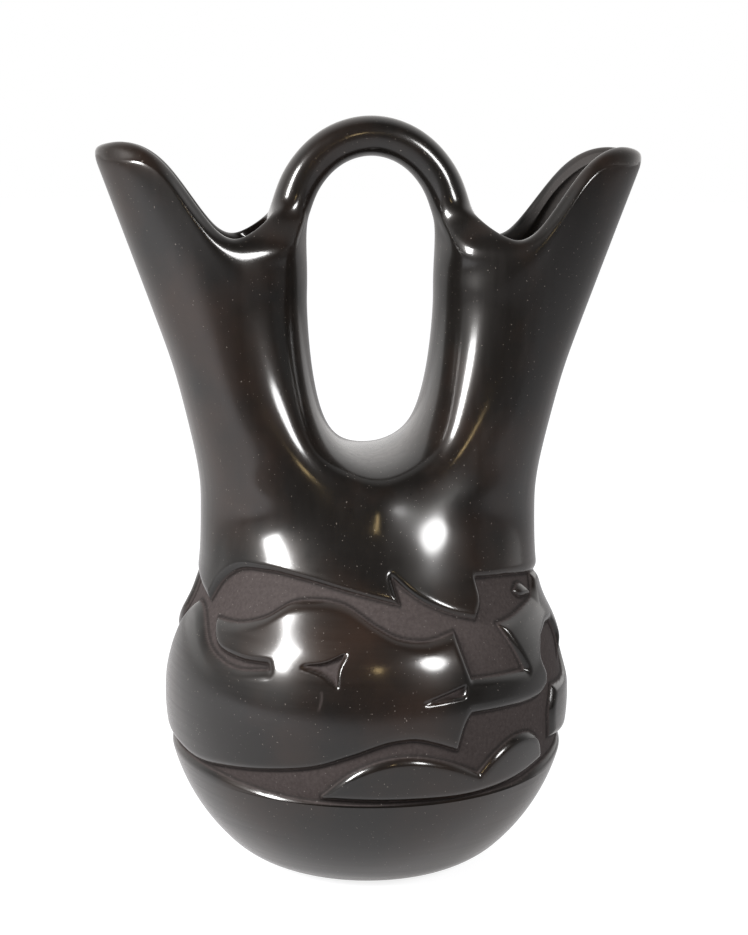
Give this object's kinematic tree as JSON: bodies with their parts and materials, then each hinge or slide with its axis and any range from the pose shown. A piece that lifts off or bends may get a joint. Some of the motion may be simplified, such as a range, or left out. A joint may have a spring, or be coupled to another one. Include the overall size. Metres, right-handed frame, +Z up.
{
  "type": "pueblo pottery jar",
  "caption": "Polished blackware jar with a round carved belly, a flattened neck, flaring spouts and a stirrup handle bridging them.",
  "frame": {"origin": "middle of the flat foot, on the surface the jar stands on", "axes": "+Z up through the belly's axis, +X towards the right-hand spout, the carved front with the serpent's head faces -Y"},
  "size_m": [0.1844, 0.14, 0.254],
  "materials": {
    "burnished_clay": "stone-burnished, glossy black",
    "carved_clay": "glossy black raised forms over matte brown-grey carved ground"
  },
  "bodies": {
    "root": {"base_bowl": "burnished_clay", "belly_wall": "carved_clay", "neck_trunk": "burnished_clay", "left_spout": "burnished_clay", "right_spout": "burnished_clay", "stirrup_handle": "burnished_clay"}
  },
  "joints": []
}
